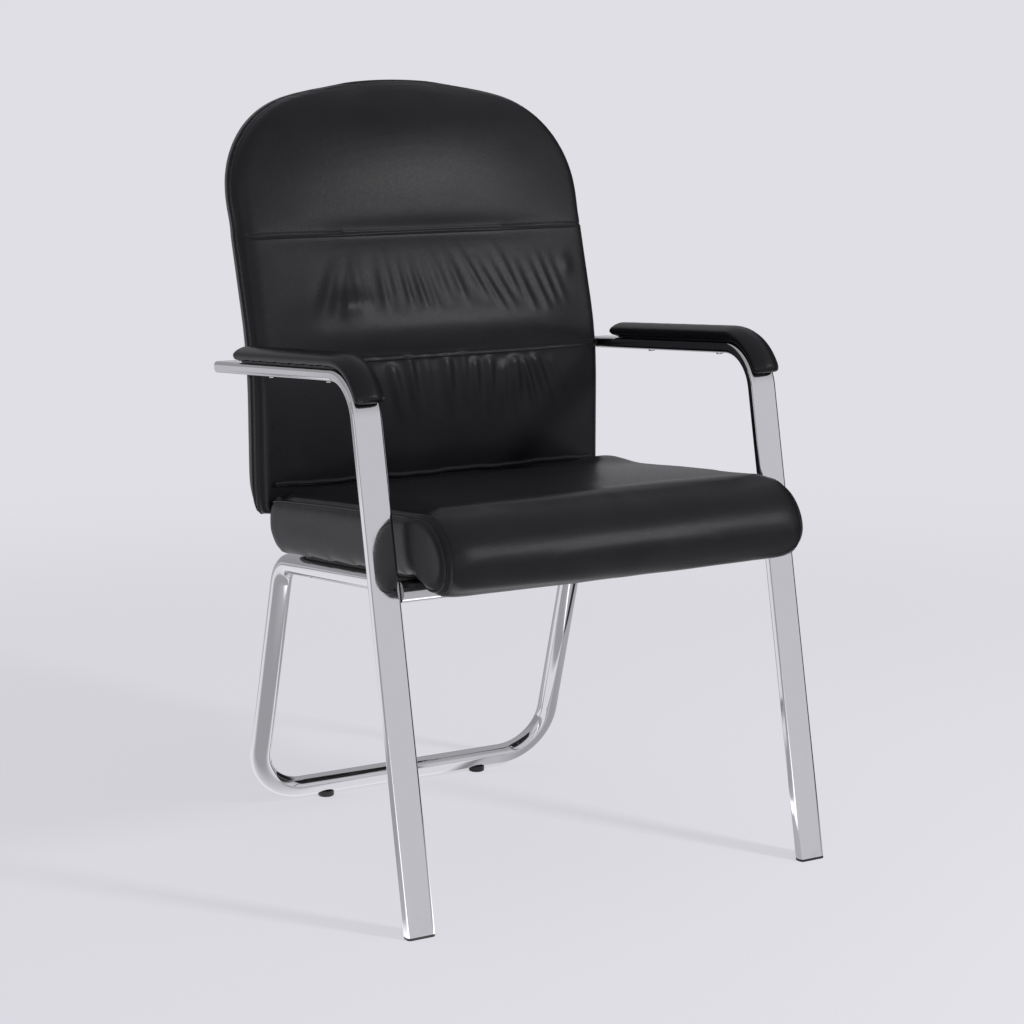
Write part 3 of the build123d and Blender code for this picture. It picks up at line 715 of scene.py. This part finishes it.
makeBackSeams()

rearPanel = {
    "voxel": 0.005, "smooth": 3, "close": 0.008,
    "neighbours": ("back_board", "back_cushion", "left_arm_tab", "right_arm_tab", "arm_tab_bolts",
                   "left_back_bracket", "right_back_bracket", "bracket_back_bolts", "left_side_frame",
                   "right_side_frame"),
}


def makeRearPanel():
    piece = cover("backRearPanel", "back_rear_panel", rearPanel["neighbours"], rearPanel)
    places = points(piece)
    places[:, 2] += headArch(places[:, 0], places[:, 2])
    movePoints(piece, places)
    finishCover(piece, "back_rear_panel")


makeRearPanel()
print("back upholstered")

# The seat: a deep roll at the front, side panels sewn to the top along a piped seam

seat = {
    "origin": np.array((0.0, -0.21333, 0.41614)),      # over the crossbar, on top of the rails
    "fall": math.radians(5.2),
    "seam": 0.2575,
    "seamDepth": 0.0022, "seamWide": 0.0030,
    "clearRise": (0.030, 0.045), "clearRun": (0.05, 0.075),      # where the seam is clear of base and bar
    "facing": (0.5, 0.85),       # how squarely a point has to face up to be shaped a little, and in full
    "voxel": 0.006, "smooth": 3, "cap": 0.003, "dip": 0.0005, "draw": 0.004, "close": 0.003,
    "neighbours": ("seat_base", "rear_loop", "front_crossbar", "seat_t_nuts", "left_back_bracket",
                   "right_back_bracket", "back_cushion", "left_side_frame", "right_side_frame"),
}

# where the seat's cover is held from swelling: low down behind the roll, and along its seams
seatHold = {"rise": (0.012, 0.035), "run": (0.035, 0.07), "seamShare": 0.9, "seamWide": 0.008}

# foam crowds up at the rear corners, where the cover is creased; side of the chair and height of the lump
corners = ((1, 0.009), (-1, 0.0015))
lump = {"x": 0.222, "wide": 0.036, "run": 0.300, "long": 0.050}
creases = {
    "x": 0.245, "run": 0.352,                  # the place that they fan out from
    "turns": (20, 42, 64, 86),                 # degrees
    "depth": 0.0022, "wide": 0.0045,
    "start": (-0.09, -0.06), "end": (-0.02, 0.02),
}

# the side panels run round into the roll without a crease
rollEnd = {"x": 0.262, "run": (-0.085, 0.045), "rounds": 25}

seatSeams = {
    "rear": 0.362, "front": -0.045,            # where the straight part starts, and turns down over the roll
    "heart": 0.036,                            # middle of the roll, over the rails
    "around": (0.05, 0.97 * math.pi),
    "pipingLift": 0.0004, "pipingRadius": 0.0015, "pipingStep": 0.005,
    "stitchInset": 0.0075, "stitchLift": 0.0002, "stitchStep": 0.0055,
    "stitchLength": 0.0042, "threadRadius": 0.00045,
    "above": 0.2, "away": 0.3,                 # how far off the cover its surface is looked for
}

seatRear = np.array((0.0, math.cos(seat["fall"]), -math.sin(seat["fall"])))
seatUp = np.array((0.0, math.sin(seat["fall"]), math.cos(seat["fall"])))


def onSeat(x, run, rise):
    return Vector(np.array((x, 0.0, 0.0)) + seat["origin"] + seatRear * run + seatUp * rise)


def holdSeat(places, outward):
    run, rise = (places - seat["origin"]) @ seatRear, (places - seat["origin"]) @ seatUp
    free = np.maximum(ramp(rise, *seatHold["rise"]), ramp(-run, *seatHold["run"]))
    sewn = hump(np.abs(places[:, 0]) - seat["seam"], seatHold["seamWide"])
    return free * (1 - seatHold["seamShare"] * sewn)


def softenEnds(piece):
    body = bmesh.new()
    body.from_mesh(piece.data)
    front, rear = rollEnd["run"]
    ends = []
    for vertex in body.verts:
        run = float((np.array(vertex.co) - seat["origin"]) @ seatRear)
        if abs(vertex.co.x) > rollEnd["x"] and front < run < rear:
            ends.append(vertex)
    smoothPoints(body, ends, rollEnd["rounds"])
    body.to_mesh(piece.data)
    body.free()


def makeSeatCover():
    piece = cover("seatCushion", "seat_cushion", seat["neighbours"], seat | {"hold": holdSeat})
    places, outward = points(piece), normals(piece)
    x = places[:, 0]
    run, rise = (places - seat["origin"]) @ seatRear, (places - seat["origin"]) @ seatUp
    clear = np.maximum(ramp(rise, *seat["clearRise"]), ramp(-run, *seat["clearRun"]))
    move = -clear * seat["seamDepth"] * hump(np.abs(x) - seat["seam"], seat["seamWide"])
    top = ramp(outward[:, 2], *seat["facing"])
    for side, height in corners:
        crowd = hump(side * x - lump["x"], lump["wide"]) * hump(run - lump["run"], lump["long"])
        move += top * height * crowd
        aside, behind = side * x - creases["x"], run - creases["run"]
        for turn in creases["turns"]:
            aim = math.radians(turn)
            across = aside * math.cos(aim) + behind * math.sin(aim)
            along = behind * math.cos(aim) - aside * math.sin(aim)
            reach = ramp(along, *creases["start"]) * (1 - ramp(along, *creases["end"]))
            move -= top * creases["depth"] * hump(across, creases["wide"]) * reach
    movePoints(piece, places + outward * move[:, None])
    softenEnds(piece)
    finishCover(piece, "seat_cushion")
    return piece


seatTree = meshTree(makeSeatCover())


def sideLine(x, lift):
    # a line along the top of the seat and down the end of its roll, in a plane across the chair
    looks = []
    for run in np.linspace(seatSeams["rear"], seatSeams["front"], 120):
        looks.append((onSeat(x, run, seatSeams["above"]), Vector(-seatUp)))
    heart = onSeat(x, seatSeams["front"], seatSeams["heart"])
    for angle in np.linspace(*seatSeams["around"], 60):
        aim = Vector(seatUp * math.cos(angle) - seatRear * math.sin(angle))
        looks.append((heart + aim * seatSeams["away"], -aim))
    path = []
    for start, aim in looks:
        hit, normal, _, _ = seatTree.ray_cast(start, aim)
        if hit is not None:
            path.append(hit + normal * lift)
    return path


def makeSeatSeams():
    rows = []
    for name, side in (("left", 1), ("right", -1)):
        seam = sideLine(side * seat["seam"], seatSeams["pipingLift"])
        piping(f"{name}SeatPiping", even(seam, seatSeams["pipingStep"]), seatSeams["pipingRadius"], leather)
        row = sideLine(side * (seat["seam"] - seatSeams["stitchInset"]), seatSeams["stitchLift"])
        rows.append(even(row, seatSeams["stitchStep"]))
    stitches("seatTopstitch", rows, seatSeams["stitchLength"], seatSeams["threadRadius"])


makeSeatSeams()
print("seat upholstered")

# Arm pads: padded strips over the arms, round at the rear and turned down over the front bend

armPad = {"voxel": 0.003, "smooth": 4, "close": 0.003}


def makeArmPads():
    for name in ("left", "right"):
        neighbours = (f"{name}_arm_pad_core", f"{name}_side_frame", f"{name}_arm_pad_screws")
        piece = cover(f"{name}ArmPad", f"{name}_arm_pad", neighbours, armPad)
        finishCover(piece, f"{name}_arm_pad")


makeArmPads()
print("arm pads covered")


# The stage: one pale floor that runs into a pale surround

stage = {
    "tone": "#e0dfe5",
    "floorSize": 60.0,
    "glow": 0.76,            # share of the floor's look that is its own pale tone, near the chair
    "fadeFrom": 1.2,         # metres from the chair where the floor melts into the surround
    "fadeTo": 3.0,
    "front": 1.15,           # surround's strength low down in front of the chair
    "behind": 0.58,          # and behind it
    "turnsAt": (-0.3, 0.3),  # y of the directions between front and behind
    "overhead": 0.72,        # straight up
    "domeAt": (0.25, 0.7),   # z of the directions between low down and overhead
    "dark": 0.04,            # share left in the dark sector, towards +X
    "darkAim": (0.985, 0.17, 0.0),
    "darkAt": (0.66, 0.86),  # cosine to that aim where the sector starts, and where it is darkest
    "lampAim": (0.0, 0.0, 0.6),
    "keyPower": 90.0,
    "keyPlace": (1.55, -2.6, 2.0),
    "keySize": 0.4,
    "sheetPower": 23.0,
    "sheetPlace": (1.69, -2.71, 2.02),
    "sheetSize": (1.7, 0.9),
}

# painted reflections: what glossy faces see of the floor round the chair is a glow, bright and dark by
# direction, that puts glints and dark bands in the chrome; degrees from +X by way of +Y, and strengths
paintedReflectionRing = (
    (-180, 0.7), (-160, 0.9), (-153, 3.2), (-144, 3.2), (-137, 0.9), (-120, 0.9), (-75, 0.85), (-60, 0.7),
    (-45, 0.6), (-24, 0.04), (4, 0.04), (12, 0.8), (90, 0.7), (110, 0.7), (118, 1.0), (123, 1.0), (125, 0.5),
    (127, 0.6), (129, 1.5), (150, 1.5), (158, 0.7), (180, 0.7),
)
paintedReflectionMiddle = (0.3, 0.0, 0.0)
paintedReflectionTop = 4.0                # strength at the top of the curve


def makeFloor():
    material, tree = newMaterial("paleStudioFloor")
    place = addNode(tree, "TexCoord")
    reach = addNode(tree, "VectorMath", {"operation": "LENGTH"}, links={0: place.outputs["Object"]})
    melt = addNode(tree, "MapRange", {"interpolation_type": "SMOOTHSTEP"},
                   values={"From Min": stage["fadeFrom"], "From Max": stage["fadeTo"],
                           "To Min": stage["glow"], "To Max": 1.0},
                   links={"Value": reach.outputs["Value"]})
    matt = addNode(tree, "BsdfDiffuse", values={"Color": linear(stage["tone"])})
    glow = addNode(tree, "Emission", values={"Color": linear(stage["tone"])})
    plain = addNode(tree, "MixShader", links={0: melt.outputs["Result"], 1: matt.outputs["BSDF"],
                                              2: glow.outputs["Emission"]})
    around = addNode(tree, "VectorMath", {"operation": "SUBTRACT"}, values={1: paintedReflectionMiddle},
                     links={0: place.outputs["Object"]})
    sides = addNode(tree, "SeparateXYZ", links={"Vector": around.outputs["Vector"]})
    turn = addNode(tree, "Math", {"operation": "ARCTAN2"},
                   links={0: sides.outputs["Y"], 1: sides.outputs["X"]})
    share = addNode(tree, "MapRange", values={"From Min": -math.pi, "From Max": math.pi},
                    links={"Value": turn.outputs["Value"]})
    curve = addNode(tree, "FloatCurve", links={"Value": share.outputs["Result"]})
    spots = curve.mapping.curves[0].points
    while len(spots) < len(paintedReflectionRing):
        spots.new(0.5, 0.5)
    for spot, (degrees, strength) in zip(spots, paintedReflectionRing):
        spot.location = (degrees / 360 + 0.5, strength / paintedReflectionTop)
        spot.handle_type = "VECTOR"
    curve.mapping.update()
    # painted reflections: glossy rays see the floor glow at this strength, by direction round the chair
    paintedGlintStrength = addNode(tree, "Math", {"operation": "MULTIPLY"}, values={1: paintedReflectionTop},
                    links={0: curve.outputs["Value"]})
    paintedReflectionGlow = addNode(tree, "Emission", values={"Color": linear(stage["tone"])},
                       links={"Strength": paintedGlintStrength.outputs["Value"]})
    # glossy rays see the painted reflection glow in place of the plain floor
    path = addNode(tree, "LightPath")
    mix = addNode(tree, "MixShader", links={0: path.outputs["Is Glossy Ray"], 1: plain.outputs["Shader"],
                                            2: paintedReflectionGlow.outputs["Emission"]})
    addNode(tree, "OutputMaterial", links={"Surface": mix.outputs["Shader"]})
    sheet = bmesh.new()
    bmesh.ops.create_grid(sheet, x_segments=1, y_segments=1, size=stage["floorSize"])
    mesh = bpy.data.meshes.new("studioFloor")
    sheet.to_mesh(mesh)
    sheet.free()
    mesh.materials.append(material)
    link("studioFloor", mesh)


def makeSurround():
    world = bpy.data.worlds.new("paleSurround")
    world.use_nodes = True
    tree = world.node_tree
    tree.nodes.clear()
    place = addNode(tree, "TexCoord")
    sides = addNode(tree, "SeparateXYZ", links={"Vector": place.outputs["Generated"]})
    low = addNode(tree, "MapRange", {"interpolation_type": "SMOOTHSTEP"},
                  values={"From Min": stage["turnsAt"][0], "From Max": stage["turnsAt"][1],
                          "To Min": stage["front"], "To Max": stage["behind"]},
                  links={"Value": sides.outputs["Y"]})
    dome = addNode(tree, "MapRange", {"interpolation_type": "SMOOTHSTEP"},
                   values={"From Min": stage["domeAt"][0], "From Max": stage["domeAt"][1],
                           "To Max": stage["overhead"]},
                   links={"Value": sides.outputs["Z"], "To Min": low.outputs["Result"]})
    aim = addNode(tree, "VectorMath", {"operation": "DOT_PRODUCT"}, values={1: stage["darkAim"]},
                  links={0: place.outputs["Generated"]})
    shade = addNode(tree, "MapRange", {"interpolation_type": "SMOOTHSTEP"},
                    values={"From Min": stage["darkAt"][0], "From Max": stage["darkAt"][1],
                            "To Min": 1.0, "To Max": stage["dark"]},
                    links={"Value": aim.outputs["Value"]})
    around = addNode(tree, "Math", {"operation": "MULTIPLY"},
                     links={0: dome.outputs["Result"], 1: shade.outputs["Result"]})
    path = addNode(tree, "LightPath")
    strength = addNode(tree, "Mix", {"data_type": "FLOAT"}, values={"B": 1.0},
                       links={"Factor": path.outputs["Is Camera Ray"], "A": around.outputs["Value"]})
    light = addNode(tree, "Background", values={"Color": linear(stage["tone"])},
                    links={"Strength": strength.outputs["Result"]})
    addNode(tree, "OutputWorld", links={"Surface": light.outputs["Background"]})
    scene.world = world


def makeLamp(name, power, place, size):
    lamp = bpy.data.lights.new(name, "AREA")
    lamp.energy = power
    lamp.shape = "RECTANGLE"
    lamp.size, lamp.size_y = size
    box = bpy.data.objects.new(name, lamp)
    box.location = place
    look = Vector(stage["lampAim"]) - box.location
    box.rotation_euler = look.to_track_quat("-Z", "Y").to_euler()
    scene.collection.objects.link(box)
    return box


def makeLamps():
    softbox = makeLamp("softbox", stage["keyPower"], stage["keyPlace"], (stage["keySize"],) * 2)
    softbox.visible_glossy = False
    # its sheet as the covers mirror it, which draws the broad highlights of the leatherette
    sheet = makeLamp("softboxSheet", stage["sheetPower"], stage["sheetPlace"], stage["sheetSize"])
    sheet.visible_diffuse = False
    sheet.light_linking.receiver_collection = covers


makeFloor()
makeSurround()
makeLamps()
print("stage ready")
